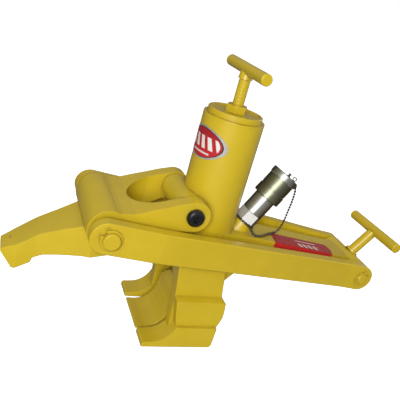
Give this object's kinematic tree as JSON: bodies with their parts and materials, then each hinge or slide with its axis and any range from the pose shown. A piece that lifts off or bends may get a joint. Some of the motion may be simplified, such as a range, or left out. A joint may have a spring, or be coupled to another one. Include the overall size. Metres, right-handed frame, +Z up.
{
  "type": "hydraulic tyre bead breaker",
  "caption": "Hydraulic bead breaker for large wheels: upright cylinder with push foot between fixed claws, hooked nose lever, side arms, clamp screw and feed screw.",
  "frame": {"origin": "on the cylinder axis, in the plane of the claws' flat underside", "axes": "+Z up the cylinder axis, +X towards the clamp screw, +Y to the far side; the assembly is symmetric about Y = 0 apart from the small details"},
  "size_m": [0.5114, 0.1672, 0.3482],
  "materials": {
    "yellow_paint": "gloss industrial enamel over cast and rolled steel",
    "seal_rubber": "matte",
    "bronze": "turned bearing bronze",
    "hard_chrome": "ground hard chrome",
    "machined_steel": "turned",
    "spring_steel": "oiled drawn wire",
    "black_oxide": "black oxide, satin",
    "zinc_plate": "zinc plated, slightly yellowed",
    "chain_steel": "dull plated bead chain",
    "label_film": null
  },
  "bodies": {
    "cylinder": {"cylinder_body": "yellow_paint", "top_cap": "yellow_paint", "cap_seal": "seal_rubber", "gland_nut": "yellow_paint", "guide_bush": "bronze", "rod_wiper": "seal_rubber", "return_spring": "spring_steel", "pivot_screws": "black_oxide", "coupler_nipple": "zinc_plate", "coupler_body": "zinc_plate", "coupler_poppet": "machined_steel", "chain_ring": "zinc_plate", "bead_chain": "chain_steel", "badge_oval": "label_film", "arm_label": "label_film"},
    "ram": {"ram_rod": "hard_chrome", "piston": "machined_steel", "piston_seal": "seal_rubber", "push_foot": "yellow_paint", "foot_screw": "black_oxide"},
    "lever": {"nose_lever": "yellow_paint", "boss_bush": "bronze", "ear_bushes": "bronze"},
    "arms": {"side_arm_near": "yellow_paint", "side_arm_far": "yellow_paint", "pin_a": "yellow_paint", "circlips_a": "yellow_paint", "pin_spacers": "zinc_plate"},
    "cross_pin": {"pin_b": "yellow_paint", "circlips_b": "yellow_paint"},
    "clamp": {"clamp_screw": "yellow_paint", "clamp_bar": "yellow_paint"},
    "feed_pad": {"thrust_pad": "machined_steel"},
    "feed": {"feed_screw": "yellow_paint", "feed_bar": "yellow_paint"},
    "sleeve": {"coupler_sleeve": "zinc_plate"},
    "cap": {"dust_cap": "zinc_plate", "cap_loop": "zinc_plate"}
  },
  "joints": [
    {"name": "ram_slide", "type": "slide", "parent": "cylinder", "child": "ram", "axis": [0, 0, -1], "range_m": [0, 0.07], "deforming": ["return_spring"]},
    {"name": "lever_swing", "type": "hinge", "parent": "cylinder", "child": "lever", "pos_m": [-0.037, 0, 0.1728], "axis": [0, -1, 0], "range_deg": [-2, 4]},
    {"name": "arm_pivot", "type": "hinge", "parent": "lever", "child": "arms", "pos_m": [-0.1334, 0, 0.1456], "axis": [0, -1, 0], "range_deg": [-2.4, 1.3]},
    {"name": "cross_pin_slide", "type": "slide", "parent": "cylinder", "child": "cross_pin", "axis": [0.5736, 0, 0.8192], "range_m": [-0.0031, 0.0061]},
    {"name": "clamp_turn", "type": "hinge", "parent": "cylinder", "child": "clamp", "pos_m": [0.2288, 0, 0.1068], "axis": [0.5736, 0, 0.8192], "range_deg": [-560, 1100]},
    {"name": "feed_advance", "type": "slide", "parent": "cylinder", "child": "feed_pad", "axis": [0, 0, -1], "range_m": [0, 0.0281]},
    {"name": "feed_turn", "type": "hinge", "parent": "feed_pad", "child": "feed", "pos_m": [0, 0, 0.3413], "axis": [0, 0, -1], "range_deg": [0, 2520]},
    {"name": "sleeve_turn", "type": "hinge", "parent": "cylinder", "child": "sleeve", "pos_m": [0.07849, 0, 0.19398], "axis": [0.4848, 0, 0.8746], "continuous": true},
    {"name": "cap_pull", "type": "slide", "parent": "cylinder", "child": "cap", "axis": [0.4848, 0, 0.8746], "range_m": [0, 0.024]}
  ],
  "couplings": [
    {"joint": "arm_pivot", "follows": "lever_swing", "ratio": -0.55916},
    {"joint": "cross_pin_slide", "follows": "lever_swing", "m_per_rad": 0.078226},
    {"joint": "clamp_turn", "follows": "lever_swing", "ratio": 245.75},
    {"joint": "feed_advance", "follows": "feed_turn", "m_per_rad": 0.00063662}
  ]
}
